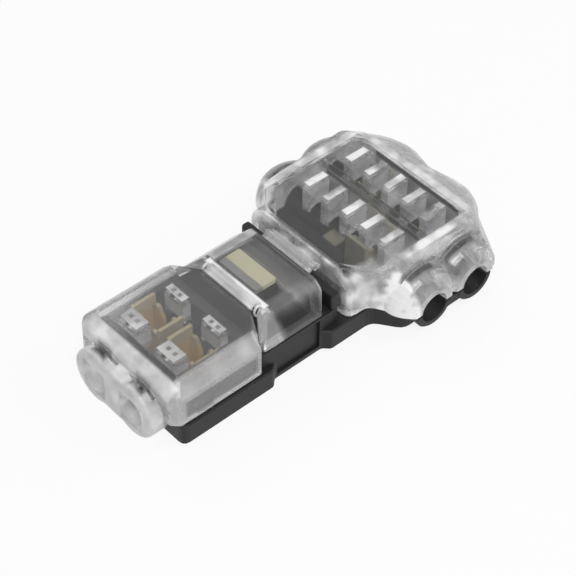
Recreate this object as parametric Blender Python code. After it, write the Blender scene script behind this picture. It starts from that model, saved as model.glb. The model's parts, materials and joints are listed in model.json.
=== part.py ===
"""Two-wire T-tap connector: a black moulded base, a clear cover moulded as two flip lids and a fixed bridge,
and two stamped contacts whose slotted blades bite the wires when the lids are pressed shut.

+X runs along the stem towards the wide head, -Y is the near side and +Z is up. The origin is at the middle of
the underside. Both lids are modelled shut.
"""

import math

import bmesh
import bpy
from mathutils import Vector

MM = 0.001

# Wires: the bore that takes each one, the spacing of the two branch wires and of the two run wires
WIRE_BORE = 3.4 * MM
BRANCH_PITCH = 5.6 * MM
RUN_PITCH = 5.8 * MM
WIRE_Z = 2.9 * MM

# Base, from its front face backwards
BASE_TOP = 2.6 * MM
BLOCK_LENGTH = 11.4 * MM
WAIST_LENGTH = 7.6 * MM
WAIST_INSET = 0.7 * MM
WAIST_TOP = 4.6 * MM
ROOT_LENGTH = 5.4 * MM
ROOT_TO_RUN = 4.4 * MM
HEAD_STEP = 1.8 * MM
TUBE_REACH = 2.7 * MM
FLARE_SETBACK = 1.7 * MM
HEAD_MARGIN = 6.5 * MM
LOBE_Y = 3.8 * MM
LOBE_FLAT = 0.7 * MM
LOBE_DIP = 0.9 * MM
TROUGH_WALL = 0.7 * MM
BASE_CORNER = 0.8 * MM
BASE_LIFT = 0.05 * MM
BULKHEAD_THICK = 1.0 * MM
FRONT_BULKHEAD_TOP = 5.8 * MM
REAR_BULKHEAD_TOP = 6.5 * MM
SEAT_HEIGHT = 1.3 * MM
RECESS_FOOT = 0.65 * MM
RECESS_DEPTH = 0.3 * MM
RIM_THICK = 0.7 * MM
RIM_TOP = 5.5 * MM
END_RIM_HALF = 6.4 * MM

# Clear cover
LID_GAP = 0.3 * MM
LID_INSET = 0.2 * MM
LID_OVERHANG = 0.85 * MM
LID_WALL = 1.0 * MM
LID_ROOF = 0.9 * MM
LID_TOP = 7.6 * MM
LID_CHAMFER = 1.25 * MM
LID_BACKSET = 1.35 * MM
TONGUE_LENGTH = 1.95 * MM
TONGUE_THICK = 0.8 * MM
TONGUE_HALF = 3.6 * MM
NOSE_REACH = 2.5 * MM
NOSE_WALL = 1.35 * MM
LATCH_SETBACK = 3.05 * MM
LATCH_LENGTH = 2.0 * MM
LATCH_DEPTH = 1.1 * MM
BRIDGE_WALL = 0.8 * MM
BRIDGE_ROOF = 0.7 * MM
BRIDGE_SLOPE = 2.0 * MM
BRIDGE_TUCK = 1.2 * MM
HEAD_LID_TOP = 8.1 * MM
HEAD_LID_DROP = 1.9 * MM
END_SLOPE = 3.2 * MM
ROOT_SLOPE = 2.1 * MM
TUBE_WALL = 2.4 * MM
TUBE_ROUNDING = 2.9 * MM
TUBE_DRAFT = 1.6 * MM
SLIT_WIDTH = 0.45 * MM
SLIT_SPREAD = math.radians(40)

# Living hinges between the lids and the bridge
HINGE_WIDTH = 1.2 * MM
HINGE_THICK = 0.35 * MM
HINGE_DEPTH = 0.35 * MM
HINGE_HALF = 3.3 * MM
HINGE_SLIT = 0.3 * MM

# Ribs inside the lids that press each wire down
RIB_THICK = 1.0 * MM
RIB_LENGTH = 2.8 * MM
RIB_FOOT = 1.25 * MM
BAR_GAP = 0.65 * MM
BLOCK_RIB_THICK = 1.7 * MM

# Contacts: a flat strip with a box of slotted blades at each end
STRIP_THICK = 0.35 * MM
STRIP_WIDTH = 2.0 * MM
STRIP_FLOOR = 0.55 * MM
CAGE_HALF = 2.3 * MM
CAGE_LENGTH = 2.9 * MM
CAGE_SETBACK = 4.65 * MM
CAGE_TOP = 6.25 * MM
BLADE_THICK = 0.4 * MM
BLADE_TOP = 5.4 * MM
BLADE_SLOT = 0.5 * MM
BLADE_MOUTH = 2.0 * MM
SEAT_GAP = 0.3 * MM

# Pale pad that holds the strips down under the bridge
PAD_LENGTH = 2.9 * MM
PAD_WIDTH = 5.8 * MM
PAD_SETBACK = 0.9 * MM
PAD_THICK = 0.5 * MM

SEGMENTS = 32
ROUND_STEPS = 3
OVER = 1.0 * MM

# Stations along the stem, from the front face of the base at x = 0 before the part is centred
BORE_R = WIRE_BORE / 2
TUBE_R = BORE_R + TUBE_WALL
TUBE_MOUTH = TUBE_R - TUBE_DRAFT
NOSE_R = BORE_R + NOSE_WALL
TROUGH_R = BORE_R + TROUGH_WALL
WAIST_FRONT = BLOCK_LENGTH
ROOT_FRONT = WAIST_FRONT + WAIST_LENGTH
ROOT_REAR = ROOT_FRONT + ROOT_LENGTH
RUN_1 = ROOT_REAR + ROOT_TO_RUN
RUN_2 = RUN_1 + RUN_PITCH
HEAD_END = RUN_2 + HEAD_MARGIN
LID_FRONT = -LID_OVERHANG
LID_REAR = WAIST_FRONT - LID_BACKSET
WAIST_START = LID_REAR + LID_GAP
TONGUE_REAR = LID_REAR + TONGUE_LENGTH
FRONT_HINGE = TONGUE_REAR + HINGE_WIDTH / 2
BRIDGE_FRONT = TONGUE_REAR + HINGE_WIDTH
BRIDGE_REAR = ROOT_FRONT + 0.4 * MM
REAR_HINGE = BRIDGE_REAR + HINGE_WIDTH / 2 + LID_GAP
HEAD_LID_FRONT = REAR_HINGE + HINGE_WIDTH / 2 + LID_GAP
FRONT_BULKHEAD = LID_REAR - BULKHEAD_THICK
REAR_BULKHEAD = HEAD_LID_FRONT - LID_GAP - BULKHEAD_THICK - 0.3 * MM

# Stations across it: the contacts set the stem's width, and the stem sets the head's
BRANCH_Y = BRANCH_PITCH / 2
RIM_INSIDE = BRANCH_Y + CAGE_HALF + SEAT_GAP
LID_HALF = RIM_INSIDE + RIM_THICK + LID_GAP + LID_WALL
STEM_HALF = LID_HALF + LID_INSET
WAIST_HALF = STEM_HALF - WAIST_INSET
HEAD_SIDE = STEM_HALF + HEAD_STEP
HEAD_HALF = HEAD_SIDE + TUBE_REACH

# Heights
LID_BOTTOM = BASE_TOP + LID_GAP
HINGE_Z = LID_TOP - HINGE_DEPTH
BRANCH_CAGE = LID_REAR - CAGE_SETBACK
CENTRE_X = (HEAD_END - NOSE_REACH) / 2


def material(name, colour, roughness, metallic=0.0, alpha=1.0):
    """A Principled material in the piece's own colour."""
    made = bpy.data.materials.new(name)
    made.use_nodes = True
    shader = made.node_tree.nodes["Principled BSDF"]
    shader.inputs["Base Color"].default_value = (*colour, 1)
    shader.inputs["Roughness"].default_value = roughness
    shader.inputs["Metallic"].default_value = metallic
    shader.inputs["Alpha"].default_value = alpha
    return made


def bmesh_to_object(name, bm):
    """Turns a bmesh into a linked object with its faces pointing out."""
    bmesh.ops.remove_doubles(bm, verts=bm.verts, dist=1e-7)
    bmesh.ops.recalc_face_normals(bm, faces=bm.faces)
    mesh = bpy.data.meshes.new(name)
    bm.to_mesh(mesh)
    bm.free()
    made = bpy.data.objects.new(name, mesh)
    bpy.context.scene.collection.objects.link(made)
    return made


def fillet(corners):
    """The points of a closed outline whose corners (x, y, radius) are rounded by arcs."""
    points = []
    count = len(corners)
    for i, (x, y, radius) in enumerate(corners):
        here = Vector((x, y))
        before = Vector(corners[i - 1][:2]) - here
        after = Vector(corners[(i + 1) % count][:2]) - here
        reach = min(radius, before.length * 0.45, after.length * 0.45)
        start = here + before.normalized() * reach
        end = here + after.normalized() * reach
        for step in range(ROUND_STEPS + 1):
            t = step / ROUND_STEPS
            points.append(start * (1 - t) ** 2 + here * 2 * t * (1 - t) + end * t**2)
    return points


def inset(corners, distance):
    """The same outline moved inwards on every side; the corners run anticlockwise."""
    count = len(corners)
    moved = []
    for i, (x, y, radius) in enumerate(corners):
        here = Vector((x, y))
        along_in = (here - Vector(corners[i - 1][:2])).normalized()
        along_out = (Vector(corners[(i + 1) % count][:2]) - here).normalized()
        normal_in = Vector((-along_in.y, along_in.x))
        normal_out = Vector((-along_out.y, along_out.x))
        mitre = (normal_in + normal_out).normalized()
        shift = mitre * (distance / max(mitre.dot(normal_in), 0.3))
        moved.append((x + shift.x, y + shift.y, max(radius - distance * 0.5, 0.1 * MM)))
    return moved


def both_sides(half):
    """A full outline from the corners of its +Y half, which run from the rear to the front."""
    far = [(x, y, r) for x, y, r in half]
    near = [(x, -y, r) for x, y, r in reversed(half) if y > 1e-9]
    return far + near


def rounded_profile(points, radius, span):
    """Rounds the inner corners of (share, height) points; span is how far a share of 1 moves a wall."""
    scaled = [Vector((share * span, z)) for share, z in points]
    made = [scaled[0]]
    for before, here, after in zip(scaled, scaled[1:], scaled[2:]):
        start = here + (before - here) * min(0.45, radius / (before - here).length)
        end = here + (after - here) * min(0.45, radius / (after - here).length)
        for step in range(ROUND_STEPS + 1):
            t = step / ROUND_STEPS
            made.append(start * (1 - t) ** 2 + here * 2 * t * (1 - t) + end * t**2)
    made.append(scaled[-1])
    return [(point.x / span, point.y) for point in made]


def loft(name, lower, upper, profile):
    """A closed body between two outlines; the profile gives (share of the way up, height) for each ring."""
    bm = bmesh.new()
    low = fillet(lower)
    high = fillet(upper)
    rings = []
    for share, z in profile:
        rings.append([bm.verts.new((*(a * (1 - share) + b * share), z)) for a, b in zip(low, high)])
    count = len(low)
    for under, over in zip(rings, rings[1:]):
        for i in range(count):
            j = (i + 1) % count
            bm.faces.new((under[i], under[j], over[j], over[i]))
    bm.faces.new(list(reversed(rings[0])))
    bm.faces.new(rings[-1])
    return bmesh_to_object(name, bm)


def prism(name, corners, bottom, top):
    """A straight-sided body on a rounded outline."""
    return loft(name, corners, corners, [(0, bottom), (0, top)])


def box(name, low, high):
    """A rectangular body between two corners."""
    bm = bmesh.new()
    bmesh.ops.create_cube(bm, size=1)
    for vert in bm.verts:
        vert.co = Vector(((low[i] + high[i]) / 2 + vert.co[i] * (high[i] - low[i]) for i in range(3)))
    return bmesh_to_object(name, bm)


def turned(name, axis, centre, profile, segments=SEGMENTS):
    """A body turned about a line along X or Y; the profile is (position along the line, radius)."""
    bm = bmesh.new()
    rings = []
    for along, radius in profile:
        ring = []
        for i in range(segments):
            angle = 2 * math.pi * (i + 0.5) / segments
            across, up = radius * math.cos(angle), radius * math.sin(angle)
            if axis == "X":
                ring.append(bm.verts.new((along, centre[0] + across, centre[1] + up)))
            else:
                ring.append(bm.verts.new((centre[0] + across, along, centre[1] + up)))
        rings.append(ring)
    for first, second in zip(rings, rings[1:]):
        for i in range(segments):
            j = (i + 1) % segments
            bm.faces.new((first[i], first[j], second[j], second[i]))
    bm.faces.new(rings[0])
    bm.faces.new(list(reversed(rings[-1])))
    return bmesh_to_object(name, bm)


def plate(name, outline, normal, middle, thickness):
    """A flat plate cut to an outline; normal is X or Y and the outline holds (across, height) points."""
    bm = bmesh.new()
    verts = []
    for across, up in outline:
        if normal == "X":
            verts.append(bm.verts.new((middle - thickness / 2, across, up)))
        else:
            verts.append(bm.verts.new((across, middle - thickness / 2, up)))
    face = bm.faces.new(verts)
    step = Vector((thickness, 0, 0)) if normal == "X" else Vector((0, thickness, 0))
    grown = bmesh.ops.extrude_face_region(bm, geom=[face])
    bmesh.ops.translate(bm, verts=[v for v in grown["geom"] if isinstance(v, bmesh.types.BMVert)], vec=step)
    return bmesh_to_object(name, bm)


def combine(body, others, operation):
    """Adds or removes other bodies with an exact Boolean, and clears the helpers away."""
    for other in others:
        modifier = body.modifiers.new(operation, "BOOLEAN")
        modifier.operation = operation
        modifier.solver = "EXACT"
        modifier.object = other
        graph = bpy.context.evaluated_depsgraph_get()
        result = bpy.data.meshes.new_from_object(body.evaluated_get(graph))
        body.modifiers.remove(modifier)
        old = body.data
        body.data = result
        bpy.data.meshes.remove(old)
        bpy.data.objects.remove(other)
    return body


def join(body, *others):
    return combine(body, others, "UNION")


def cut(body, *others):
    return combine(body, others, "DIFFERENCE")


def finish(body, name, look, pivot=(0.0, 0.0, 0.0)):
    """Names a body, gives it its material and puts its origin on the pivot, with the whole part centred."""
    body.name = name
    body.data.name = name
    offset = Vector(pivot)
    for vert in body.data.vertices:
        vert.co -= offset
    body.location = offset - Vector((CENTRE_X, 0, 0))
    body.data.materials.clear()
    body.data.materials.append(look)
    body.data.shade_smooth()
    body.data.set_sharp_from_angle(angle=math.radians(28))
    return body


def end_lobes(margin):
    """Corners of the two-lobed far end, from the middle out to the last tube, moved in by a margin."""
    end = HEAD_END - margin
    return [
        (end - LOBE_DIP, 0, 0.8 * MM),
        (end, LOBE_Y - LOBE_FLAT, 1.2 * MM),
        (end, LOBE_Y + LOBE_FLAT, 1.2 * MM),
        (end - LOBE_DIP, STEM_HALF - 0.9 * MM - margin, 1.2 * MM),
        (end - 3 * LOBE_DIP, HEAD_SIDE - 0.8 * MM - margin, MM),
    ]


def stem_outline():
    """The base seen from above: front block, narrower waist, root, flared head and its two-lobed end."""
    flare = HEAD_HALF - FLARE_SETBACK
    return both_sides(
        [
            *end_lobes(LID_GAP),
            (RUN_2 + TROUGH_R, flare, BASE_CORNER),
            (RUN_1 - TROUGH_R, flare, BASE_CORNER),
            (ROOT_REAR, STEM_HALF, BASE_CORNER),
            (ROOT_FRONT, STEM_HALF, BASE_CORNER / 3),
            (ROOT_FRONT - WAIST_INSET, WAIST_HALF, BASE_CORNER / 3),
            (WAIST_FRONT + WAIST_INSET, WAIST_HALF, BASE_CORNER / 3),
            (WAIST_FRONT, STEM_HALF, BASE_CORNER / 3),
            (0, STEM_HALF, BASE_CORNER),
        ]
    )


def make_base():
    """The black base: a low block with a half-round trough under each wire and a pit under each contact."""
    ease = 0.15 * MM
    outline = stem_outline()
    shape = [(0, 0), (1, ease), (1, BASE_TOP - ease), (0, BASE_TOP)]
    body = loft("base", inset(outline, ease), outline, shape)
    waist = both_sides(
        [
            (ROOT_FRONT + BULKHEAD_THICK, WAIST_HALF, BASE_CORNER / 2),
            (WAIST_START, WAIST_HALF, BASE_CORNER / 2),
        ]
    )
    join(body, prism("waist", waist, STRIP_FLOOR, WAIST_TOP))
    half = RIM_INSIDE + RIM_THICK
    join(body, bulkhead(FRONT_BULKHEAD, WAIST_START + LID_GAP / 2, half, FRONT_BULKHEAD_TOP))
    rear = REAR_BULKHEAD + BULKHEAD_THICK
    join(body, bulkhead(REAR_BULKHEAD, rear, WAIST_HALF - 0.1 * MM, REAR_BULKHEAD_TOP))
    join(body, *rims())
    seat = WAIST_TOP + SEAT_HEIGHT
    low, high = pad_box()
    join(body, box("seat", (low[0], low[1], STRIP_FLOOR + STRIP_THICK * 4), (high[0], high[1], seat)))
    for run in (RUN_1, RUN_2):
        for side in (-1, 1):
            ends = sorted((side * (HEAD_HALF - 4 * MM), side * (HEAD_HALF - ease), side * HEAD_HALF))
            radii = [TROUGH_R, TROUGH_R, TROUGH_R - ease]
            if side < 0:
                radii.reverse()
            lobe = turned("lobe", "Y", (run, WIRE_Z), list(zip(ends, radii)))
            low = (run - RUN_PITCH, -2 * HEAD_HALF, BASE_TOP)
            cut(lobe, box("above", low, (run + RUN_PITCH, 2 * HEAD_HALF, HEAD_LID_TOP)))
            join(body, lobe)
    for side in (-1, 1):
        y = sorted((side * (HEAD_HALF - 3 * MM), side * (HEAD_HALF - ease)))
        web = box("web", (RUN_1, y[0], WIRE_Z - BORE_R + 0.3 * MM), (RUN_2, y[1], BASE_TOP - 0.05 * MM))
        join(body, web)
    for run in (RUN_1, RUN_2):
        reach = HEAD_HALF + OVER
        cut(body, turned("trough", "Y", (run, WIRE_Z), [(-reach, BORE_R), (reach, BORE_R)]))
    trough_rear = FRONT_BULKHEAD - SEAT_GAP
    for side in (-1, 1):
        y = side * BRANCH_Y
        cut(body, turned("trough", "X", (y, WIRE_Z), [(-OVER, BORE_R), (trough_rear, BORE_R)]))
        half = STRIP_WIDTH / 2 + SEAT_GAP
        floor = STRIP_FLOOR
        head = strip_end(side) + SEAT_GAP
        low = (BRANCH_CAGE - CAGE_LENGTH / 2, y - half, floor)
        cut(body, box("channel", low, (head, y + half, floor + STRIP_THICK + 2 * SEAT_GAP)))
        pit = CAGE_HALF + SEAT_GAP
        long = CAGE_LENGTH / 2 + SEAT_GAP
        cut(body, box("pit", (BRANCH_CAGE - long, y - pit, floor), (BRANCH_CAGE + long, y + pit, WAIST_TOP)))
        run = run_of(side)
        cut(body, box("pit", (run - pit, y - long, floor), (run + pit, y + long, WAIST_TOP)))
        cut(body, latch_slot(side), recess(side))
    return finish(body, "base_shell", BLACK)


def recess(side):
    """The shallow panel in the waist's side, which leaves a ledge along its foot."""
    margin = WAIST_INSET + RECESS_DEPTH
    y = sorted((side * (WAIST_HALF - RECESS_DEPTH), side * STEM_HALF * 1.2))
    low = (WAIST_FRONT + margin, y[0], RECESS_FOOT)
    return box("recess", low, (ROOT_FRONT - margin, y[1], WAIST_TOP - RECESS_DEPTH))


def rims():
    """Walls that stand inside the lids: one along each side of the front block and one across the far end."""
    walls = []
    front = LID_FRONT + LID_WALL + LID_GAP
    for side in (-1, 1):
        y = sorted((side * RIM_INSIDE, side * (RIM_INSIDE + RIM_THICK)))
        low = (front, y[0], STRIP_FLOOR)
        walls.append(box("rim", low, (FRONT_BULKHEAD + BULKHEAD_THICK / 2, y[1] - 0.05 * MM, RIM_TOP)))
    x = RUN_2 + CAGE_HALF + SEAT_GAP + LID_WALL
    low = (x, -END_RIM_HALF, STRIP_FLOOR)
    walls.append(box("end_rim", low, (x + RIM_THICK, END_RIM_HALF, RIM_TOP)))
    return walls


def bulkhead(front, rear, half, top):
    """A wall across the base with a rounded top edge."""
    wall = both_sides([(rear, half, 0.3 * MM), (front, half, 0.3 * MM)])
    ease = BULKHEAD_THICK * 0.3
    shape = rounded_profile([(0, STRIP_FLOOR), (0, top), (1, top)], ease, ease)
    return loft("bulkhead", wall, inset(wall, ease), shape)


def run_of(side):
    """The near contact taps the first run wire and the far contact the second."""
    return RUN_1 if side < 0 else RUN_2


def strip_end(side):
    return run_of(side) + CAGE_HALF


def pad_box():
    """Low and high corners of the pad's outline, under the bridge and close to its far wall."""
    x = BRIDGE_FRONT + PAD_SETBACK
    y = WAIST_HALF - BRIDGE_SLOPE - BRIDGE_WALL - SEAT_GAP / 3
    return (x, y - PAD_WIDTH), (x + PAD_LENGTH, y)


def latch_outline(side, gap):
    """Where the branch lid's peg drops into the base, with a gap round it and room to swing forward."""
    x = LID_FRONT + LATCH_SETBACK
    y = side * (LID_HALF - LID_WALL * 0.7)
    half = LID_WALL * 0.3 + gap * 0.9
    return (x - gap * 3.5, y - half), (x + LATCH_LENGTH + gap, y + half)


def latch_slot(side):
    low, high = latch_outline(side, SEAT_GAP)
    return box("latch_slot", (*low, BASE_TOP - LATCH_DEPTH - 0.5 * MM), (*high, BASE_TOP + OVER))


def pressing_rib(normal, across, along, thick, length, ceiling):
    """A rib that hangs from a lid's roof, hollowed below to sit on the wire's round back."""
    foot = WIRE_Z + RIB_FOOT
    half = length / 2
    hollow = BORE_R - RIB_FOOT + 0.1 * MM
    arc = []
    for step in range(9):
        angle = math.pi * step / 8
        arc.append((across - half * 0.8 * math.cos(angle), foot + hollow * math.sin(angle)))
    outline = [(across - half, ceiling + LID_ROOF / 3), (across - half, foot), *arc]
    outline += [(across + half, foot), (across + half, ceiling + LID_ROOF / 3)]
    return plate("rib", outline, normal, along, thick)


def make_branch_lid():
    """The front lid: a chamfered clear box with a two-holed nose, pressing ribs and a tongue to its hinge."""
    corner = 0.8 * MM
    lower = both_sides(
        [
            (TONGUE_REAR, TONGUE_HALF, 0.2 * MM),
            (LID_REAR, LID_HALF, 0.3 * MM),
            (LID_FRONT + corner, LID_HALF, 0.3 * MM),
            (LID_FRONT, LID_HALF - corner, 0.3 * MM),
        ]
    )
    top_half = LID_HALF - LID_CHAMFER
    upper = both_sides(
        [
            (TONGUE_REAR - 0.05 * MM, TONGUE_HALF - 0.05 * MM, 0.2 * MM),
            (LID_REAR - 0.05 * MM, top_half, 0.3 * MM),
            (LID_FRONT + LID_CHAMFER + corner * 0.6, top_half, 0.3 * MM),
            (LID_FRONT + LID_CHAMFER, top_half - corner * 0.6, 0.3 * MM),
        ]
    )
    shoulder = LID_TOP - LID_CHAMFER
    shape = [(0, LID_BOTTOM), (0, shoulder), (1, LID_TOP), (1.2, LID_TOP)]
    body = loft("lid", lower, upper, rounded_profile(shape, 0.3 * MM, LID_CHAMFER))
    ceiling = LID_TOP - LID_ROOF
    join(body, nose())
    reach = (-NOSE_REACH - OVER, -STEM_HALF, -OVER)
    cut(body, box("rest_plane", reach, (LID_REAR, STEM_HALF, BASE_LIFT)))
    cut(body, lid_cavity(lower, upper, shoulder, ceiling))
    for side in (-1, 1):
        y = side * BRANCH_Y
        bore = [(-NOSE_REACH - OVER, BORE_R), (LID_FRONT + LID_WALL + OVER, BORE_R)]
        cut(body, turned("bore", "X", (y, WIRE_Z), bore))
        cut(body, slit("X", (y, WIRE_Z), LID_FRONT - SLIT_WIDTH, LID_FRONT - 0.05 * MM, NOSE_R))
    bead = HINGE_WIDTH / 4
    ends = [(-TONGUE_HALF + bead, bead), (TONGUE_HALF - bead, bead)]
    join(body, turned("bead", "Y", (TONGUE_REAR - bead * 1.2, LID_TOP - bead * 0.7), ends, 16))
    join(body, hinge_leaf(TONGUE_REAR - HINGE_WIDTH / 2, FRONT_HINGE - HINGE_SLIT / 2))
    block_x = BRANCH_CAGE - CAGE_LENGTH / 2 - 0.4 * MM - BLOCK_RIB_THICK / 2
    bar_x = BRANCH_CAGE + CAGE_LENGTH / 2 + BAR_GAP + RIB_THICK / 2
    for side in (-1, 1):
        y = side * BRANCH_Y
        join(body, pressing_rib("X", y, bar_x, RIB_THICK, RIB_LENGTH, ceiling))
        block = pressing_rib("X", y, block_x, BLOCK_RIB_THICK, RIB_LENGTH, ceiling)
        half = 0.5 * MM
        low = (block_x, y - half, WIRE_Z)
        cut(block, box("notch", low, (block_x + BLOCK_RIB_THICK, y + half, ceiling - 0.2 * MM)))
        join(body, block, latch(side))
    return finish(body, "branch_lid", CLEAR, (FRONT_HINGE, 0, HINGE_Z))


def lid_cavity(lower, upper, shoulder, ceiling):
    """The room inside the branch lid, open below and behind, with the tongue left as a plain roof."""
    inside = [(0, 0), (0, shoulder - LID_ROOF * 0.6), (1, ceiling)]
    outlines = []
    for outline in (lower, upper):
        rear = LID_REAR + OVER + LID_WALL
        half = outline[2][1]
        walls = [(rear, half, 0.1 * MM), *outline[2:-2], (rear, -half, 0.1 * MM)]
        outlines.append(inset(walls, LID_WALL))
    cavity = loft("cavity", *outlines, inside)
    low = (LID_REAR, -2 * LID_HALF, -OVER)
    return join(cavity, box("rear", low, (TONGUE_REAR + OVER, 2 * LID_HALF, LID_TOP - TONGUE_THICK)))


def latch(side):
    """A small peg under the lid's side wall that snaps into the base."""
    low, high = latch_outline(side, 0)
    return box("latch", (*low, BASE_TOP - LATCH_DEPTH), (*high, LID_BOTTOM + MM))


def nose():
    """The two short tubes at the front, moulded as one with a slight waist between them and a rounded mouth."""
    lip = 0.4 * MM
    rings = [(-LID_GAP, NOSE_R)]
    for step in range(ROUND_STEPS + 2):
        angle = math.pi / 2 * step / (ROUND_STEPS + 1)
        rings.append((-NOSE_REACH + lip * (1 - math.sin(angle)), NOSE_R - lip * (1 - math.cos(angle))))
    bm = bmesh.new()
    made = []
    for x, radius in rings:
        ring = []
        for side in (1, -1):
            for step in range(15):
                angle = math.radians(118) * (step / 7 - 1)
                y = side * (BRANCH_Y + radius * math.cos(angle))
                ring.append(bm.verts.new((x, y, WIRE_Z + side * radius * math.sin(angle))))
        made.append(ring)
    count = len(made[0])
    for first, second in zip(made, made[1:]):
        for i in range(count):
            j = (i + 1) % count
            bm.faces.new((first[i], first[j], second[j], second[i]))
    bm.faces.new(made[0])
    bm.faces.new(list(reversed(made[-1])))
    return bmesh_to_object("nose", bm)


def hinge_leaf(start, end):
    """One half of a living hinge: a thin web whose upper face passes through the joint's axis."""
    return box("leaf", (start, -HINGE_HALF, HINGE_Z - HINGE_THICK), (end, HINGE_HALF, HINGE_Z))


def slit(axis, centre, start, end, outer):
    """A crescent window through the upper wall of a tube, where the tube leaves the lid."""
    inner = BORE_R * 0.8
    bm = bmesh.new()
    steps = 10
    rings = []
    for along in (start, end):
        ring = []
        for radius, order in ((inner, 1), (outer + 0.4 * MM, -1)):
            for i in range(steps + 1)[::order]:
                angle = math.pi / 2 + SLIT_SPREAD * (2 * i / steps - 1)
                across, up = radius * math.cos(angle), radius * math.sin(angle)
                spot = (along, centre[0] + across, centre[1] + up)
                if axis == "Y":
                    spot = (centre[0] + across, along, centre[1] + up)
                ring.append(bm.verts.new(spot))
        rings.append(ring)
    count = len(rings[0])
    for i in range(count):
        j = (i + 1) % count
        bm.faces.new((rings[0][i], rings[0][j], rings[1][j], rings[1][i]))
    bm.faces.new(rings[0])
    bm.faces.new(list(reversed(rings[1])))
    return bmesh_to_object("slit", bm)


def make_bridge():
    """The fixed clear cover over the waist: a roof between the hinges on sloping sides, open at the front."""
    front = WAIST_START + 1.5 * LID_GAP
    tuck = BRIDGE_REAR - BRIDGE_TUCK
    top_half = WAIST_HALF - BRIDGE_SLOPE
    bottom = WAIST_TOP + LID_GAP
    knee = bottom + 0.5 * MM
    top_front = (BRIDGE_FRONT - LID_GAP, top_half, 0.3 * MM)
    sides = (front, WAIST_HALF, 0.3 * MM)
    lower = both_sides([(BRIDGE_REAR + 0.1 * MM, WAIST_HALF, 0.3 * MM), sides])
    upper = both_sides([(BRIDGE_REAR, top_half, 0.3 * MM), top_front])
    shape = [(0, bottom), (0, knee), (1, LID_TOP), (1.2, LID_TOP)]
    body = loft("bridge", lower, upper, rounded_profile(shape, 0.25 * MM, BRIDGE_SLOPE))
    ceiling = LID_TOP - BRIDGE_ROOF
    behind = BRIDGE_REAR + OVER
    under = [(tuck, 0), (tuck, knee), (BRIDGE_REAR, ceiling), (behind, ceiling), (behind, 0)]
    cut(body, plate("tuck", under, "Y", 0, 4 * WAIST_HALF))
    ahead = front - 2 * OVER
    lower = both_sides([(tuck, WAIST_HALF, 0.3 * MM), (ahead, WAIST_HALF, 0.3 * MM)])
    upper = both_sides([(BRIDGE_REAR, top_half, 0.3 * MM), (ahead, top_half, 0.3 * MM)])
    inside = [(0, 0), (0, knee), (1, ceiling)]
    cut(body, loft("cavity", inset(lower, BRIDGE_WALL), inset(upper, BRIDGE_WALL), inside))
    room = 0.5 * MM
    start = front - OVER
    notch = both_sides(
        [
            (BRIDGE_FRONT, TONGUE_HALF + room * 0.2, 0.2 * MM),
            (TONGUE_REAR, TONGUE_HALF + room, 0.2 * MM),
            (start, TONGUE_HALF + room + (TONGUE_REAR - start), 0.2 * MM),
        ]
    )
    cut(body, prism("notch", notch, LID_TOP - LID_ROOF - room, LID_TOP + OVER))
    join(body, hinge_leaf(FRONT_HINGE + HINGE_SLIT / 2, BRIDGE_FRONT + LID_GAP))
    join(body, hinge_leaf(BRIDGE_REAR - 0.3 * MM, REAR_HINGE - HINGE_SLIT / 2))
    return finish(body, "bridge_cover", CLEAR)


def head_outline():
    """The head lid's lower and upper outlines, with matching corners: lobed end, sides, flare and root."""
    top = HEAD_LID_FRONT + 0.2 * MM
    lower = [
        *end_lobes(0),
        (RUN_2 + HEAD_MARGIN / 2 - 0.35 * MM, HEAD_SIDE + 0.5 * MM, 0.6 * MM),
        (ROOT_REAR + 0.9 * MM, HEAD_SIDE, 0.8 * MM),
        (ROOT_REAR - 0.8 * MM, STEM_HALF, 0.6 * MM),
        (HEAD_LID_FRONT, STEM_HALF, 1.1 * MM),
    ]
    end = HEAD_END - END_SLOPE
    upper = [
        (end, 0, 0.2 * MM),
        (end, LOBE_Y - LOBE_FLAT, 0.3 * MM),
        (end, LOBE_Y + LOBE_FLAT, 0.3 * MM),
        (end - 0.05 * MM, STEM_HALF - 1.4 * MM, 0.3 * MM),
        (end - 0.3 * MM, STEM_HALF, 0.5 * MM),
        (RUN_2 + 1.3 * MM, HEAD_SIDE + 0.1 * MM, 0.5 * MM),
        (ROOT_REAR, HEAD_SIDE - 0.7 * MM, 0.5 * MM),
        (top + 0.5 * MM, STEM_HALF - ROOT_SLOPE, 0.3 * MM),
        (top, STEM_HALF - ROOT_SLOPE - 0.1 * MM, 0.2 * MM),
    ]
    return both_sides(lower), both_sides(upper)


def run_tube(run, side):
    """A half-tube that carries a run wire out through the side of the head, rounded over towards its mouth."""
    profile = [(HEAD_SIDE - 2 * MM, TUBE_R)]
    steps = 2 * ROUND_STEPS
    for step in range(steps + 1):
        share = step / steps
        along = HEAD_HALF - TUBE_ROUNDING * (1 - share)
        profile.append((along, TUBE_R - TUBE_DRAFT * share**2.2))
    if side < 0:
        profile = [(-along, radius) for along, radius in profile]
    return turned("tube", "Y", (run, WIRE_Z), profile)


def gusset(side, corners):
    """A sloping web on one side of the head: the hull of its corners."""
    bm = bmesh.new()
    for x, y, z in corners:
        bm.verts.new((x, side * y, z))
    hull = bmesh.ops.convex_hull(bm, input=bm.verts)
    loose = [item for item in hull["geom_interior"] if isinstance(item, bmesh.types.BMVert)]
    bmesh.ops.delete(bm, geom=loose, context="VERTS")
    return bmesh_to_object("gusset", bm)


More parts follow.
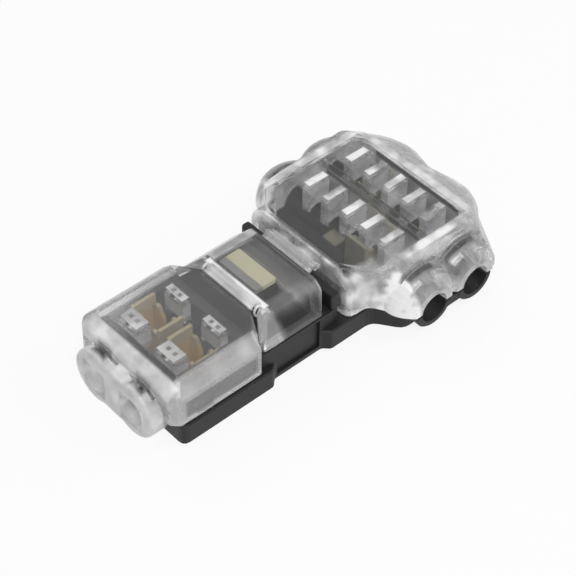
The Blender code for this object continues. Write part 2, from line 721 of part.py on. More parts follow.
def front_gusset(side):
    """From the flare out to the mouth of the first tube."""
    foot = LID_BOTTOM - OVER
    mid = WIRE_Z + TUBE_R * 0.72
    reach = HEAD_HALF - 0.2 * MM
    outer = RUN_1 - TUBE_MOUTH
    corners = [
        (ROOT_REAR - 0.9 * MM, STEM_HALF - 0.1 * MM, foot),
        (outer, reach, foot),
        (RUN_1, reach, foot),
        (RUN_1, STEM_HALF, foot),
        (ROOT_REAR + 0.2 * MM, STEM_HALF, mid),
        (outer - 0.3 * MM, HEAD_SIDE + 0.5 * MM, mid - 0.3 * MM),
        (RUN_1, HEAD_SIDE + 0.5 * MM, mid + 0.3 * MM),
        (RUN_1, STEM_HALF, mid),
        (outer + 0.2 * MM, reach, LID_BOTTOM + 0.7 * MM),
        (RUN_1, reach, LID_BOTTOM + 0.7 * MM),
    ]
    return gusset(side, corners)


def end_gusset(side):
    """From the second tube round to the lobed end."""
    foot = LID_BOTTOM - OVER
    shoulder = HEAD_LID_TOP - HEAD_LID_DROP
    reach = HEAD_HALF - 0.3 * MM
    corner = RUN_2 + HEAD_MARGIN / 2
    corners = [
        (RUN_2, STEM_HALF, foot),
        (RUN_2, reach, foot),
        (corner - 0.1 * MM, reach, foot),
        (corner - 0.25 * MM, reach, WIRE_Z + TUBE_MOUTH * 0.5),
        (RUN_2 + TUBE_MOUTH * 0.6, reach - 0.2 * MM, WIRE_Z + TUBE_MOUTH * 0.8),
        (RUN_2 + TUBE_MOUTH * 0.5, HEAD_SIDE + 1.1 * MM, shoulder - 0.1 * MM),
        (RUN_2 + TUBE_MOUTH, HEAD_SIDE + 0.9 * MM, shoulder),
        (RUN_2, STEM_HALF, shoulder),
    ]
    for x, y, _ in end_lobes(0.15 * MM)[3:]:
        corners.append((x, y, foot))
        corners.append((x, y, shoulder - 0.8 * MM))
    for x, y, _ in end_lobes(0.4 * MM)[3:]:
        corners.append((x, y, shoulder + 0.1 * MM))
    return gusset(side, corners)


def make_head_lid():
    """The wide lid over the run wires, with four half-tubes, two rows of pressing ribs and a lobed far end."""
    lower, upper = head_outline()
    shoulder = HEAD_LID_TOP - HEAD_LID_DROP
    swell = shoulder + HEAD_LID_DROP * 0.55
    shape = [(0, LID_BOTTOM), (0, shoulder), (0.3, swell), (1, HEAD_LID_TOP), (1.1, HEAD_LID_TOP)]
    body = loft("head", lower, upper, rounded_profile(shape, 0.4 * MM, 3 * MM))
    for run in (RUN_1, RUN_2):
        for side in (-1, 1):
            join(body, run_tube(run, side))
    for side in (-1, 1):
        join(body, front_gusset(side), end_gusset(side))
    ceiling = HEAD_LID_TOP - LID_ROOF
    inside = [(0, 0), (0, shoulder - LID_ROOF * 0.5), (1, ceiling)]
    cut(body, loft("cavity", inset(lower, LID_WALL), inset(upper, LID_WALL), inside))
    reach = HEAD_HALF + OVER
    for run in (RUN_1, RUN_2):
        cut(body, turned("bore", "Y", (run, WIRE_Z), [(-reach, BORE_R), (reach, BORE_R)]))
        for side in (-1, 1):
            ends = sorted((side * (HEAD_SIDE - 0.15 * MM), side * (HEAD_SIDE - 0.15 * MM + SLIT_WIDTH)))
            cut(body, slit("Y", (run, WIRE_Z), ends[0], ends[1], TUBE_R))
    below = box("below", (HEAD_LID_FRONT - OVER, -reach, -TUBE_R), (HEAD_END + OVER, reach, LID_BOTTOM))
    cut(body, below)
    for run in (RUN_1, RUN_2):
        for step in range(-2, 3):
            join(body, pressing_rib("Y", run, step * BRANCH_Y, RIB_THICK, RIB_LENGTH, ceiling))
    middle = (RUN_1 + RUN_2) / 2
    spine = HEAD_SIDE - LID_WALL - 0.6 * MM
    low = (middle - 0.25 * MM, -spine, CAGE_TOP + SEAT_GAP)
    join(body, box("spine", low, (middle + 0.25 * MM, spine, ceiling + LID_ROOF / 3)))
    join(body, hinge_leaf(REAR_HINGE + HINGE_SLIT / 2, HEAD_LID_FRONT + 0.6 * MM))
    return finish(body, "head_lid", CLEAR, (REAR_HINGE, 0, HINGE_Z))


def blade(normal, across, along, foot):
    """A slotted blade: two tines with a flared mouth that guide the wire down into a narrow slot."""
    half = CAGE_HALF - BLADE_THICK / 2
    slot = BLADE_SLOT / 2
    mouth = BLADE_MOUTH / 2
    slot_floor = WIRE_Z - BORE_R + 0.5 * MM
    slot_top = WIRE_Z + 0.9 * MM
    right = [
        (slot, slot_floor),
        (slot, slot_top),
        (mouth, BLADE_TOP),
        (mouth + 0.5 * MM, BLADE_TOP),
        (half, foot + 4 * MM),
        (half, foot),
    ]
    outline = [(across + a, z) for a, z in right]
    outline += [(across - a, z) for a, z in reversed(right)]
    return plate("blade", outline, normal, along, BLADE_THICK)


def cage(normal, across, along, foot):
    """The box at the end of a strip: two side walls along the wire and a slotted blade across each end."""
    walls = []
    half = CAGE_LENGTH / 2
    for side in (-1, 1):
        outer = across + side * CAGE_HALF
        inner = across + side * (CAGE_HALF - BLADE_THICK)
        low, high = min(outer, inner), max(outer, inner)
        if normal == "X":
            corners = (along - half, low, foot), (along + half, high, CAGE_TOP)
        else:
            corners = (low, along - half, foot), (high, along + half, CAGE_TOP)
        walls.append(box("wall", *corners))
    for side in (-1, 1):
        spot = along + side * (half - BLADE_THICK / 2 - 0.05 * MM)
        walls.append(blade(normal, across, spot, foot + 0.01 * MM))
    floor_half = CAGE_HALF - 0.1 * MM
    top = foot + STRIP_THICK
    if normal == "X":
        corners = (along - half, across - floor_half, foot), (along + half, across + floor_half, top)
    else:
        corners = (across - floor_half, along - half, foot), (across + floor_half, along + half, top)
    walls.append(box("floor", *corners))
    return walls


def make_contact(side):
    """One stamped contact, from the box under its branch wire to the box under its run wire."""
    y = side * BRANCH_Y
    foot = STRIP_FLOOR + SEAT_GAP
    start = BRANCH_CAGE - CAGE_LENGTH / 2 + 0.1 * MM
    end = strip_end(side) - 0.1 * MM
    low = (start, y - STRIP_WIDTH / 2, foot + 0.02 * MM)
    body = box("strip", low, (end, y + STRIP_WIDTH / 2, foot + STRIP_THICK - 0.02 * MM))
    join(body, *cage("X", y, BRANCH_CAGE, foot))
    join(body, *cage("Y", run_of(side), y, foot))
    return finish(body, "contact_near" if side < 0 else "contact_far", BRASS)


def make_pad():
    """The pale pad on its seat under the bridge."""
    low, high = pad_box()
    margin = 0.1 * MM
    bottom = WAIST_TOP + SEAT_HEIGHT + SEAT_GAP
    outline = [
        (high[0] - margin, high[1] - margin, 0.2 * MM),
        (low[0] + margin, high[1] - margin, 0.2 * MM),
        (low[0] + margin, low[1] + margin, 0.2 * MM),
        (high[0] - margin, low[1] + margin, 0.2 * MM),
    ]
    return finish(prism("pad", outline, bottom, bottom + PAD_THICK), "strip_pad", IVORY)


for old in list(bpy.data.objects):
    bpy.data.objects.remove(old)

BLACK = material("black_moulded_plastic", (0.012, 0.012, 0.013), 0.42)
CLEAR = material("clear_moulded_plastic", (0.88, 0.9, 0.9), 0.08, alpha=0.3)
BRASS = material("tinned_brass", (0.75, 0.62, 0.36), 0.3, metallic=1.0)
IVORY = material("ivory_plastic", (0.78, 0.76, 0.62), 0.5)

make_base()
make_contact(-1)
make_contact(1)
make_pad()
make_bridge()
make_branch_lid()
make_head_lid()
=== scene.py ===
"""Two-wire T-tap connector in a pale studio: clear flip lids over a black base with slotted brass blades."""

import json
import math

import bmesh
import bpy
from mathutils import Matrix, Vector


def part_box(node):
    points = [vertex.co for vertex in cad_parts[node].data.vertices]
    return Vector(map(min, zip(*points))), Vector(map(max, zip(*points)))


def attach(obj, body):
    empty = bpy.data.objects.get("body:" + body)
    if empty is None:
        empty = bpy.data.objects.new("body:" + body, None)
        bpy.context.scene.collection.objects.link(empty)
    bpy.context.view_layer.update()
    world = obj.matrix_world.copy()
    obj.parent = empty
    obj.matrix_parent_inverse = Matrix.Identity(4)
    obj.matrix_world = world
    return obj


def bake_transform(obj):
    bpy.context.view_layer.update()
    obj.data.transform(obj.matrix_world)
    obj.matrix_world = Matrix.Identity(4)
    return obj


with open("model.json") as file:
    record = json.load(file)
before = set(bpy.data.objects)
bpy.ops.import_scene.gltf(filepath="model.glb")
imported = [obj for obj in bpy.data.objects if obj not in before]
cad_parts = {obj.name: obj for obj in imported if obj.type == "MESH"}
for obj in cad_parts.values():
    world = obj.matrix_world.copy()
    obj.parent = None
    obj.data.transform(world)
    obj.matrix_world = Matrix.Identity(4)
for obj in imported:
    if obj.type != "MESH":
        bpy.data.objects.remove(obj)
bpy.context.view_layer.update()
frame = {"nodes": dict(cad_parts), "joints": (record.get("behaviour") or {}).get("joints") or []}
MM = 0.001
NODES = frame["nodes"]
HINGES = {joint["child"]: Vector(joint["pos_m"]) for joint in frame["joints"]}
HINGE_HALF = 3.5 * MM

WHITE = (1, 1, 1, 1)

# The areas of haze, painted highlight and painted shade below are in mm: x counts from the front face of the
# base, y from the part's middle and z from the underside. An area that starts at MID covers both sides and
# the middle between them
BASE_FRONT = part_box("base_shell")[0][0]
MID = -1
TOP = 9
# The full width of the metal and the pad
ACROSS = (MID, 9)
# The underside of the clear roofs
ROOF_Z = 6.55
# Where the front lid's ribs stand, and the small painted shadows in their tops
FRONT_RIB_TOPS = ((1.9, 3.5), (7.55, 8.45))
FRONT_CORES_X = (2.75, 8.0)
FRONT_CORES_Y = (2.35, 3.3)
# Where the two run wires cross the head, and how the head's ribs stand along them
RUN_WIRES = (28.8, 34.6)
HEAD_RIBS_Y = (0, 2.8, 5.6)


def linear(hex_colour):
    """An sRGB hex colour as linear red, green, blue and alpha."""
    parts = [int(hex_colour[i : i + 2], 16) / 255 for i in (0, 2, 4)]
    return tuple(c / 12.92 if c <= 0.04045 else ((c + 0.055) / 1.055) ** 2.4 for c in parts) + (1.0,)


def add_node(tree, kind, settings=None, out=0, **inputs):
    """Adds a node, sets its settings, sets or links its inputs by name or number, and gives one output."""
    made = tree.nodes.new(kind)
    for key, value in (settings or {}).items():
        setattr(made, key, value)
    for key, value in inputs.items():
        by_number = key[0] == "i" and key[1:].isdigit()
        socket = made.inputs[int(key[1:])] if by_number else made.inputs[key.replace("_", " ")]
        if isinstance(value, bpy.types.NodeSocket):
            tree.links.new(value, socket)
        else:
            socket.default_value = value
    return made.outputs[out] if made.outputs else None


def new_material(name):
    made = bpy.data.materials.new(name)
    made.use_nodes = True
    made.node_tree.nodes.clear()
    return made, made.node_tree


def place_in_mm(tree):
    """Where a point of a piece lies at rest, in mm from the front face of the base."""
    return add_node(
        tree,
        "ShaderNodeVectorMath",
        {"operation": "MULTIPLY_ADD"},
        i0=add_node(tree, "ShaderNodeTexCoord", out="Object"),
        i1=(1 / MM, 1 / MM, 1 / MM),
        i2=(-BASE_FRONT / MM, 0, 0),
    )


def inside(tree, where, box, soft):
    """1 inside a box, fading to 0 over its edge, and on both sides unless its y starts below MID."""
    x, y, z = add_node(tree, "ShaderNodeSeparateXYZ", i0=where).node.outputs
    if box[1][0] >= MID:
        y = add_node(tree, "ShaderNodeMath", {"operation": "ABSOLUTE"}, i0=y)
    furthest = None
    for value, (low, high) in zip((x, y, z), box):
        offset = add_node(tree, "ShaderNodeMath", {"operation": "SUBTRACT"}, i0=value, i1=(low + high) / 2)
        away = add_node(tree, "ShaderNodeMath", {"operation": "ABSOLUTE"}, i0=offset)
        past = add_node(tree, "ShaderNodeMath", {"operation": "SUBTRACT"}, i0=away, i1=(high - low) / 2)
        if furthest is None:
            furthest = past
        else:
            furthest = add_node(tree, "ShaderNodeMath", {"operation": "MAXIMUM"}, i0=furthest, i1=past)
    return add_node(
        tree,
        "ShaderNodeMapRange",
        {"interpolation_type": "SMOOTHSTEP"},
        Value=furthest,
        From_Min=-soft,
        From_Max=soft,
        To_Min=1.0,
        To_Max=0.0,
    )


# Black nylon, injection moulded: near-black and satin, with a spark-eroded grain. The real grain is finer,
# and it is drawn at 0.25 mm so that it shows.
def black_nylon():
    made, tree = new_material("black_moulded_nylon")
    grain = add_node(
        tree,
        "ShaderNodeTexNoise",
        Vector=add_node(tree, "ShaderNodeTexCoord", out="Object"),
        Scale=1 / (0.25 * MM),
        Detail=3.0,
        Roughness=0.6,
    )
    bump = add_node(tree, "ShaderNodeBump", Height=grain, Strength=0.12, Distance=0.05 * MM)
    body = add_node(
        tree, "ShaderNodeBsdfPrincipled", Base_Color=linear("202021"), Roughness=0.5, IOR=1.4, Normal=bump
    )
    add_node(tree, "ShaderNodeOutputMaterial", Surface=body)
    return made


# Polycarbonate, injection moulded: its polished panels are clear, so the dark inside reads through them, and
# its edges, walls and ribs turn hazy and then nearly white, partly where the mould is matt and partly as
# painted highlights where they catch the light. Haze runs from 0, clear, to 1, white. A dark painted shade
# darkens the clear places that the dark inside shows through.
def clear_polycarbonate(name, haze, edge_haze_and_highlight, mottle, hazes_and_highlights=(), painted_shades=()):
    made, tree = new_material(name)
    where = place_in_mm(tree)

    # Slanted and rounded faces take the edge haze, which is haze and a painted highlight where the edges
    # catch the light, and faces square to the part's axes keep the plain one
    facing = add_node(tree, "ShaderNodeTexCoord", out="Normal")
    facing = add_node(tree, "ShaderNodeVectorMath", {"operation": "ABSOLUTE"}, i0=facing)
    slant = add_node(
        tree, "ShaderNodeVectorMath", {"operation": "DOT_PRODUCT"}, out="Value", i0=facing, i1=(1, 1, 1)
    )
    level = add_node(
        tree, "ShaderNodeMapRange", Value=slant, From_Min=1.05, From_Max=1.38, To_Min=haze, To_Max=edge_haze_and_highlight
    )
    for box, soft, wanted in hazes_and_highlights:
        share = inside(tree, where, box, soft)
        level = add_node(tree, "ShaderNodeMix", {"data_type": "FLOAT"}, i0=share, i2=level, i3=wanted)

    # The haze is uneven in patches of about 2.4 mm, as the flow of the plastic left it
    noise = add_node(tree, "ShaderNodeTexNoise", Vector=where, Scale=1 / 2.38, Detail=2.0, Roughness=0.5)
    uneven = add_node(
        tree,
        "ShaderNodeMapRange",
        Value=noise,
        From_Min=0.25,
        From_Max=0.75,
        To_Min=1 - mottle,
        To_Max=1 + mottle,
    )
    level = add_node(tree, "ShaderNodeMath", {"operation": "MULTIPLY"}, i0=level, i1=uneven)

    # Up to half the haze greys and roughens the plastic, and the rest whitens it
    greyed = add_node(tree, "ShaderNodeMapRange", Value=level, From_Min=0.0, From_Max=0.5)
    whitened = add_node(tree, "ShaderNodeMapRange", Value=level, From_Min=0.5, From_Max=1.0)
    blend = {"data_type": "RGBA"}
    colour = add_node(
        tree, "ShaderNodeMix", blend, out=2, i0=greyed, i6=linear("e6e6e7"), i7=linear("c8c8c9")
    )
    colour = add_node(tree, "ShaderNodeMix", blend, out=2, i0=whitened, i6=colour, i7=linear("f6f6f6"))
    clearness = add_node(tree, "ShaderNodeMath", {"operation": "SUBTRACT"}, i0=1.0, i1=level)
    # Painted shade: dark grey laid into the clear places where shade and the dark inside show through
    for box, soft, depth in painted_shades:
        share = inside(tree, where, box, soft)
        share = add_node(tree, "ShaderNodeMath", {"operation": "MULTIPLY"}, i0=share, i1=clearness)
        share = add_node(tree, "ShaderNodeMath", {"operation": "MULTIPLY"}, i0=share, i1=depth)
        colour = add_node(tree, "ShaderNodeMix", blend, out=2, i0=share, i6=colour, i7=linear("303032"))
    through_grey = add_node(tree, "ShaderNodeMapRange", Value=greyed, To_Min=0.97, To_Max=0.55)
    lost_in_white = add_node(tree, "ShaderNodeMapRange", Value=whitened, To_Min=0.0, To_Max=-0.45)
    body = add_node(
        tree,
        "ShaderNodeBsdfPrincipled",
        Base_Color=colour,
        Roughness=add_node(tree, "ShaderNodeMapRange", Value=greyed, To_Min=0.07, To_Max=0.3),
        IOR=1.585,
        Transmission_Weight=add_node(
            tree, "ShaderNodeMath", {"operation": "ADD"}, i0=through_grey, i1=lost_in_white
        ),
    )

    # The lamps shine through, so that the base and the blades under the lids are lit
    shadow_ray = add_node(tree, "ShaderNodeLightPath", out="Is Shadow Ray")
    open_to_lamps = add_node(tree, "ShaderNodeBsdfTransparent", Color=(0.83, 0.83, 0.83, 1))
    mix = add_node(tree, "ShaderNodeMixShader", i0=shadow_ray, i1=body, i2=open_to_lamps)
    add_node(tree, "ShaderNodeOutputMaterial", Surface=mix)
    return made


# Brass strip, stamped and partly tinned: dull yellow metal that greys where the blades' tops are tinned, and
# greys under the wide lid as painted shade, with smears of about 0.4 mm from the press.
def stamped_brass():
    made, tree = new_material("stamped_brass")
    where = place_in_mm(tree)
    smears = add_node(tree, "ShaderNodeTexNoise", Vector=where, Scale=1 / 0.4, Detail=2.0)
    blade_tops = inside(tree, where, ((0, 30), ACROSS, (4.7, 7)), soft=0.4)
    # Painted shade: the brass under the wide lid is greyed where it looks dull and dark
    shade_under_wide_lid = inside(tree, where, ((20, 40), ACROSS, (0, 7)), soft=0.5)
    patchy = add_node(tree, "ShaderNodeMapRange", Value=smears, To_Min=0.4, To_Max=1.0)
    tin_and_lid_shade = add_node(tree, "ShaderNodeMath", {"operation": "MULTIPLY"}, i0=blade_tops, i1=patchy)
    tin_and_lid_shade = add_node(tree, "ShaderNodeMath", {"operation": "MAXIMUM"}, i0=tin_and_lid_shade, i1=shade_under_wide_lid)
    blend = {"data_type": "RGBA"}
    colour = add_node(
        tree, "ShaderNodeMix", blend, out=2, i0=tin_and_lid_shade, i6=linear("e0c068"), i7=linear("b9b59c")
    )
    roughness = add_node(tree, "ShaderNodeMapRange", Value=smears, To_Min=0.3, To_Max=0.45)
    body = add_node(
        tree, "ShaderNodeBsdfPrincipled", Base_Color=colour, Roughness=roughness, Metallic=0.5
    )
    add_node(tree, "ShaderNodeOutputMaterial", Surface=body)
    return made


# Ivory nylon pad, moulded and matt, with a painted shadow along its front edge.
def ivory_nylon():
    made, tree = new_material("ivory_moulded_nylon")
    # Painted shadow: a grey stripe along the pad's front edge
    front_shadow = inside(tree, place_in_mm(tree), ((13, 15.1), ACROSS, (0, TOP)), soft=0.08)
    blend = {"data_type": "RGBA"}
    colour = add_node(
        tree, "ShaderNodeMix", blend, out=2, i0=front_shadow, i6=linear("cfcaa9"), i7=linear("8b8b86")
    )
    body = add_node(tree, "ShaderNodeBsdfPrincipled", Base_Color=colour, Roughness=0.5, IOR=1.53)
    add_node(tree, "ShaderNodeOutputMaterial", Surface=body)
    return made


def area(x, y, z, soft, amount):
    """A box in mm, the width of its soft edge, and the haze, painted highlight or painted shade inside it.
    """
    return (x, y, z), soft, amount


def branch_lid_plastic():
    """A clear roof and panels under painted shade, painted shade at the bores, a hazy chamfer and nose with
    painted highlights, and rib tops with a painted highlight and two small painted shadows each.
    """
    # Painted highlights on the rib tops, each with two small painted shadows
    rib_top_highlights = [area(x=x, y=(1.5, 4.1), z=(6.0, TOP), soft=0.12, amount=0.62) for x in FRONT_RIB_TOPS]
    core_shadows = [
        ((x - 0.2, x + 0.2), (y - 0.2, y + 0.2), (6.6, TOP)) for x in FRONT_CORES_X for y in FRONT_CORES_Y
    ]
    over_bores = ((-1.8, -0.9), (2.0, 3.8), (3.9, 6.5))
    # Besides haze, the front chamfer and the nose rim carry painted highlights
    hazes_and_highlights = {
        "roof": area(x=(0.3, 12.2), y=(MID, 5.8), z=(3.0, TOP), soft=0.15, amount=0.03),
        "side panels": area(x=(0.6, 9.5), y=(6.9, 8), z=(3.5, 5.7), soft=0.12, amount=0.02),
        "ribs": area(x=(1.5, 9.3), y=(MID, 5.5), z=(4.6, ROOF_Z - 0.1), soft=0.4, amount=0.6),
        "front chamfer": area(x=(-1.0, 0.4), y=(MID, 6.6), z=(5.0, TOP), soft=0.2, amount=0.85),
        "nose": area(x=(-4, -0.9), y=(MID, 7), z=(0, 6.5), soft=0.1, amount=0.74),
        "nose rim": area(x=(-4, -3.1), y=(MID, 7), z=(0, 6.5), soft=0.15, amount=1.2),
        "over the bores": area(*over_bores, soft=0.4, amount=0.1),
    }
    # Painted shade: dark grey at the bores, over the side panels and on the roof
    painted_shades = {
        "bores behind the front wall": area(x=(-1.2, 0.5), y=(1.4, 4.2), z=(1.0, 4.6), soft=0.2, amount=1.6),
        "bores": area(x=(-2.9, -1.2), y=(1.2, 4.4), z=(0.9, 4.5), soft=0.15, amount=1.1),
        "over the bores": area(*over_bores, soft=0.4, amount=1.1),
        "side panels": area(x=(0.8, 9.3), y=(7.1, 8), z=(3.7, 5.6), soft=0.12, amount=0.45),
        "roof": area(x=(0.7, 12.0), y=(MID, 5.4), z=(6.2, TOP), soft=0.3, amount=0.2),
    }
    return clear_polycarbonate(
        "clear_polycarbonate_branch_lid",
        haze=0.38,
        edge_haze_and_highlight=0.5,
        mottle=0.32,
        hazes_and_highlights=[*hazes_and_highlights.values(), *rib_top_highlights, *(area(*core, soft=0.2, amount=0.2) for core in core_shadows)],
        painted_shades=[*painted_shades.values(), *(area(*core, soft=0.2, amount=0.75) for core in core_shadows)],
    )


def bridge_cover_plastic():
    """A clear roof under painted shade, a painted highlight on its far edge, painted shade on its sides that
    leaves the near side dim, and a pale painted highlight on the front edge beside the hinge.
    """
    # The roof's far edge and the front edge carry painted highlights as well as haze
    hazes_and_highlights = {
        "roof": area(x=(13.6, 19.4), y=(MID, 4.4), z=(ROOF_Z, TOP), soft=0.15, amount=0.0),
        "sides": area(x=(13.8, 18.8), y=(4.6, 8), z=(2, 7.6), soft=0.3, amount=0.06),
        "roof edges": area(x=(13.6, 19.3), y=(3.9, 5.4), z=(6.9, TOP), soft=0.15, amount=0.6),
        "near roof edge": area(x=(13.5, 19.4), y=(-6.0, -3.7), z=(6.7, TOP), soft=0.15, amount=0.06),
        "front edge": area(x=(12.9, 13.5), y=(MID, 4.4), z=(2.0, TOP), soft=0.15, amount=1.0),
        "front corners": area(x=(12.9, 13.3), y=(4.4, 8), z=(2.0, TOP), soft=0.12, amount=0.3),
    }
    # Painted shade on the sides and the roof
    painted_shades = {
        "sides": area(x=(13.4, 19.0), y=(4.9, 8), z=(0, 6.9), soft=0.7, amount=0.9),
        "roof": area(x=(13.9, 18.9), y=(MID, 4.0), z=(6.2, TOP), soft=0.3, amount=0.12),
    }
    return clear_polycarbonate(
        "clear_polycarbonate_bridge_cover",
        haze=0.02,
        edge_haze_and_highlight=0.2,
        mottle=0.6,
        hazes_and_highlights=hazes_and_highlights.values(),
        painted_shades=painted_shades.values(),
    )


def head_lid_plastic():
    """A clear roof under painted shade over ribs with painted highlights on their tops, light rims round it
    that are partly painted highlight, white gussets, and half tubes with painted shade on their crests and
    dark painted shade at their roots.
    """
    # Painted highlights on the ribs' tops
    rib_top_highlights = [
        area(x=(x - 1.3, x + 1.3), y=(y - 0.45, y + 0.45), z=(6.4, TOP), soft=0.15, amount=0.8)
        for x in RUN_WIRES
        for y in HEAD_RIBS_Y
    ]
    # Besides haze, the rims and the front corners carry painted highlights
    hazes_and_highlights = {
        "half tubes": area(x=(25.5, 38), y=(9.6, 14), z=(0, TOP), soft=0.4, amount=0.32),
        "gussets": area(x=(22.5, 26.6), y=(8.4, 14), z=(0, 8), soft=0.45, amount=1.25),
        "roof": area(x=(21.4, 37.0), y=(MID, 8.0), z=(3, TOP), soft=0.2, amount=0.0),
        "near shoulder": area(x=(21.0, 25.2), y=(-9.6, -6.4), z=(3, 8.5), soft=0.5, amount=0.6),
        "near gusset's top": area(x=(24.0, 26.4), y=(-10.8, -8.3), z=(4.2, 8.0), soft=0.4, amount=1.3),
        "front rim": area(x=(20.9, 21.75), y=(MID, 8.4), z=(6.4, TOP), soft=0.12, amount=0.62),
        "front corners": area(x=(20.6, 21.8), y=(6.4, 8.4), z=(3.0, TOP), soft=0.2, amount=0.75),
        "rear rim": area(x=(36.9, 37.9), y=(MID, 9.2), z=(6.8, TOP), soft=0.2, amount=0.65),
        "side rims": area(x=(22.5, 37.9), y=(7.9, 8.9), z=(6.2, TOP), soft=0.2, amount=0.8),
        "front ribs": area(x=(27.2, 30.4), y=(MID, 8.0), z=(4.4, ROOF_Z + 0.6), soft=0.4, amount=0.65),
        "rear ribs": area(x=(33.0, 36.2), y=(MID, 8.0), z=(4.4, ROOF_Z + 0.6), soft=0.4, amount=0.65),
    }
    # Painted shade on the half tubes' crests, dark painted shade in the creases at their roots, and painted
    # shade on the roof
    crest_shades = [
        area(x=(x - 2.4, x + 2.8), y=(9.7, 12.2), z=(4.9, 8), soft=0.9, amount=0.75) for x in RUN_WIRES
    ]
    roots = [
        area(x=(x - 2.6, x + 1.2), y=(9.75, 10.4), z=(4.8, 7.6), soft=0.15, amount=1.35) for x in RUN_WIRES
    ]
    roof = area(x=(21.8, 36.6), y=(MID, 7.6), z=(6.0, TOP), soft=0.3, amount=0.25)
    return clear_polycarbonate(
        "clear_polycarbonate_head_lid",
        haze=0.3,
        edge_haze_and_highlight=0.5,
        mottle=0.8,
        hazes_and_highlights=[*hazes_and_highlights.values(), *rib_top_highlights],
        painted_shades=[*crest_shades, *roots, roof],
    )


def dress_all():
    """Gives every CAD node its material."""
    brass = stamped_brass()
    looks = {
        "base_shell": black_nylon(),
        "branch_lid": branch_lid_plastic(),
        "bridge_cover": bridge_cover_plastic(),
        "head_lid": head_lid_plastic(),
        "contact_near": brass,
        "contact_far": brass,
        "strip_pad": ivory_nylon(),
    }
    for name, look in looks.items():
        NODES[name].data.materials.clear()
        NODES[name].data.materials.append(look)


def link(name, bm, look):
    """Makes an object at the origin from a bmesh that is already in place."""
    mesh = bpy.data.meshes.new(name)
    bmesh.ops.recalc_face_normals(bm, faces=bm.faces)
    bm.to_mesh(mesh)
    bm.free()
    mesh.shade_smooth()
    made = bpy.data.objects.new(name, mesh)
    made.data.materials.append(look)
    bpy.context.scene.collection.objects.link(made)
    return made


def hinge_web(name, lid, look):
    """The thin moulded strip of a living hinge: it arches over the axis."""
    hinge = HINGES[lid]
    reach, lift, rise, thick = 0.75 * MM, 0.06 * MM, 0.42 * MM, 0.16 * MM
    arch_width = 0.42
    bm = bmesh.new()
    bmesh.ops.create_grid(bm, x_segments=14, y_segments=8, size=1.0)
    for vert in bm.verts:
        arch = rise * math.exp(-((vert.co.x / arch_width) ** 2))
        vert.co = hinge + Vector((vert.co.x * reach, vert.co.y * HINGE_HALF, lift + arch))
    raised = bmesh.ops.extrude_face_region(bm, geom=bm.faces[:])["geom"]
    upper = [piece for piece in raised if isinstance(piece, bmesh.types.BMVert)]
    bmesh.ops.translate(bm, vec=(0, 0, thick), verts=upper)
    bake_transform(link(name, bm, look))


def rolled_end(name, side, look):
    """The small loop at each end of the front hinge, round its axis and clear of both lids."""
    hinge = HINGES["branch_lid"]
    wire_radius, loop_radius, drop, off_middle = 0.14 * MM, 0.62 * MM, 0.15 * MM, 3.85 * MM
    centre = Vector((hinge.x, 0, hinge.z - drop))
    bm = bmesh.new()
    bmesh.ops.create_circle(bm, segments=12, radius=wire_radius)
    turn = Matrix.Rotation(math.radians(90), 4, "Y")
    place = Matrix.Translation(centre + Vector((0, side * off_middle, loop_radius)))
    bmesh.ops.transform(bm, matrix=place @ turn, verts=bm.verts)
    bmesh.ops.spin(
        bm,
        geom=bm.verts[:] + bm.edges[:],
        cent=centre,
        axis=(0, 1, 0),
        angle=2 * math.pi,
        steps=40,
        use_merge=True,
    )
    narrowed = Matrix.Diagonal((0.78, 1, 1, 1))
    around = Matrix.Translation(centre) @ narrowed @ Matrix.Translation(-centre)
    bmesh.ops.transform(bm, matrix=around, verts=bm.verts)
    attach(link(name, bm, look), "base")


def studio_floor():
    """A matt floor that keeps the part's shadow and looks white, also in reflections and through plastic."""
    half_width = 1.5
    made, tree = new_material("pale_floor")
    rays = add_node(tree, "ShaderNodeLightPath").node.outputs
    seen = add_node(
        tree,
        "ShaderNodeMath",
        {"operation": "MAXIMUM"},
        i0=rays["Is Camera Ray"],
        i1=rays["Is Transmission Ray"],
    )
    seen = add_node(tree, "ShaderNodeMath", {"operation": "MAXIMUM"}, i0=seen, i1=rays["Is Glossy Ray"])
    share = add_node(tree, "ShaderNodeMath", {"operation": "MULTIPLY"}, i0=seen, i1=0.85)
    matt = add_node(tree, "ShaderNodeBsdfDiffuse", Color=(0.85, 0.85, 0.85, 1))
    glow = add_node(tree, "ShaderNodeEmission", Color=WHITE, Strength=1.0)
    mix = add_node(tree, "ShaderNodeMixShader", i0=share, i1=matt, i2=glow)
    add_node(tree, "ShaderNodeOutputMaterial", Surface=mix)
    bm = bmesh.new()
    bmesh.ops.create_grid(bm, x_segments=1, y_segments=1, size=half_width)
    link("floor", bm, made)


def pale_room():
    """A dim pale world that the camera sees as white."""
    world = bpy.data.worlds.new("pale_room")
    world.use_nodes = True
    tree = world.node_tree
    tree.nodes.clear()
    dim = add_node(tree, "ShaderNodeBackground", Color=WHITE, Strength=0.4)
    white = add_node(tree, "ShaderNodeBackground", Color=WHITE, Strength=1.0)
    camera_ray = add_node(tree, "ShaderNodeLightPath", out="Is Camera Ray")
    mix = add_node(tree, "ShaderNodeMixShader", i0=camera_ray, i1=dim, i2=white)
    add_node(tree, "ShaderNodeOutputWorld", Surface=mix)
    bpy.context.scene.world = world


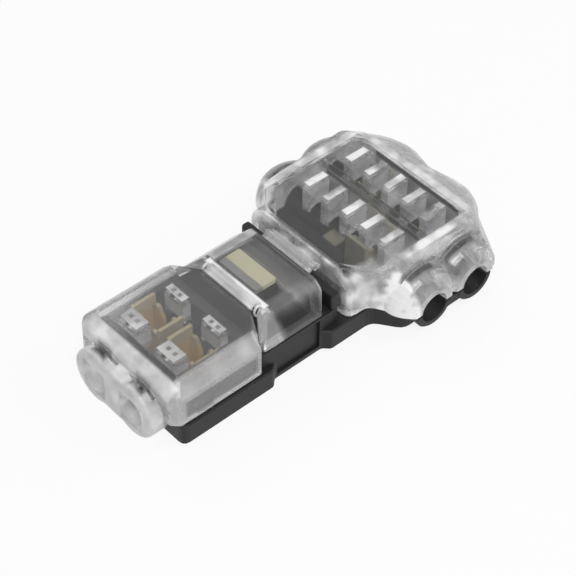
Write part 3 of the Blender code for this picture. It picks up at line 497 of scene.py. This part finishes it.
def soft_lamps():
    """Three round lamps, in metres and watts, turned to the middle of the part."""
    aim = Vector((0, 0, 4 * MM))
    for name, place, size, watts in (
        ("key", (-0.10, -0.22, 0.32), 0.18, 0.8),
        ("fill", (0.28, -0.16, 0.16), 0.22, 0.3),
        ("back", (0.06, 0.30, 0.26), 0.24, 0.4),
    ):
        lamp = bpy.data.lights.new(name, "AREA")
        lamp.shape = "DISK"
        lamp.size = size
        lamp.energy = watts
        made = bpy.data.objects.new(name, lamp)
        made.location = place
        made.rotation_euler = (aim - Vector(place)).to_track_quat("-Z", "Y").to_euler()
        bpy.context.scene.collection.objects.link(made)


def camera():
    """The photograph's viewpoint, found by fitting the part's edges."""
    azimuth, elevation, roll = (math.radians(v) for v in (-42.37, 45.256, 0.8226))
    distance = 192.06 * MM
    behind_front, above_floor = 20 * MM, 4 * MM
    target = Vector((BASE_FRONT + behind_front, 0, above_floor))
    image_pixels, focal_pixels = 576, 1912.0
    shift_pixels = (-0.21, -11.88)
    sensor = 36
    level = Vector((math.sin(azimuth), -math.cos(azimuth), 0))
    back = level * math.cos(elevation) + Vector((0, 0, math.sin(elevation)))
    right = Vector((math.cos(azimuth), math.sin(azimuth), 0))
    up = back.cross(right)
    turned_right = right * math.cos(roll) + up * math.sin(roll)
    turned_up = up * math.cos(roll) - right * math.sin(roll)
    data = bpy.data.cameras.new("camera")
    data.sensor_fit = "HORIZONTAL"
    data.sensor_width = sensor
    data.lens = focal_pixels * sensor / image_pixels
    data.shift_x = shift_pixels[0] / image_pixels
    data.shift_y = shift_pixels[1] / image_pixels
    data.clip_start = 0.01
    made = bpy.data.objects.new("camera", data)
    turned = Matrix((turned_right, turned_up, back)).transposed().to_4x4()
    made.matrix_world = Matrix.Translation(target + back * distance) @ turned
    bpy.context.scene.collection.objects.link(made)
    bpy.context.scene.camera = made


dress_all()
FRONT_WEB = clear_polycarbonate("clear_polycarbonate_front_web", haze=0.6, edge_haze_and_highlight=0.7, mottle=0.3)
REAR_WEB = clear_polycarbonate("clear_polycarbonate_rear_web", haze=0.25, edge_haze_and_highlight=0.4, mottle=0.3)
hinge_web("front_hinge_web", "branch_lid", FRONT_WEB)
hinge_web("rear_hinge_web", "head_lid", REAR_WEB)
rolled_end("rolled_end_near", -1, FRONT_WEB)
rolled_end("rolled_end_far", 1, FRONT_WEB)
studio_floor()
pale_room()
soft_lamps()
camera()
bpy.context.scene.view_settings.view_transform = "Standard"
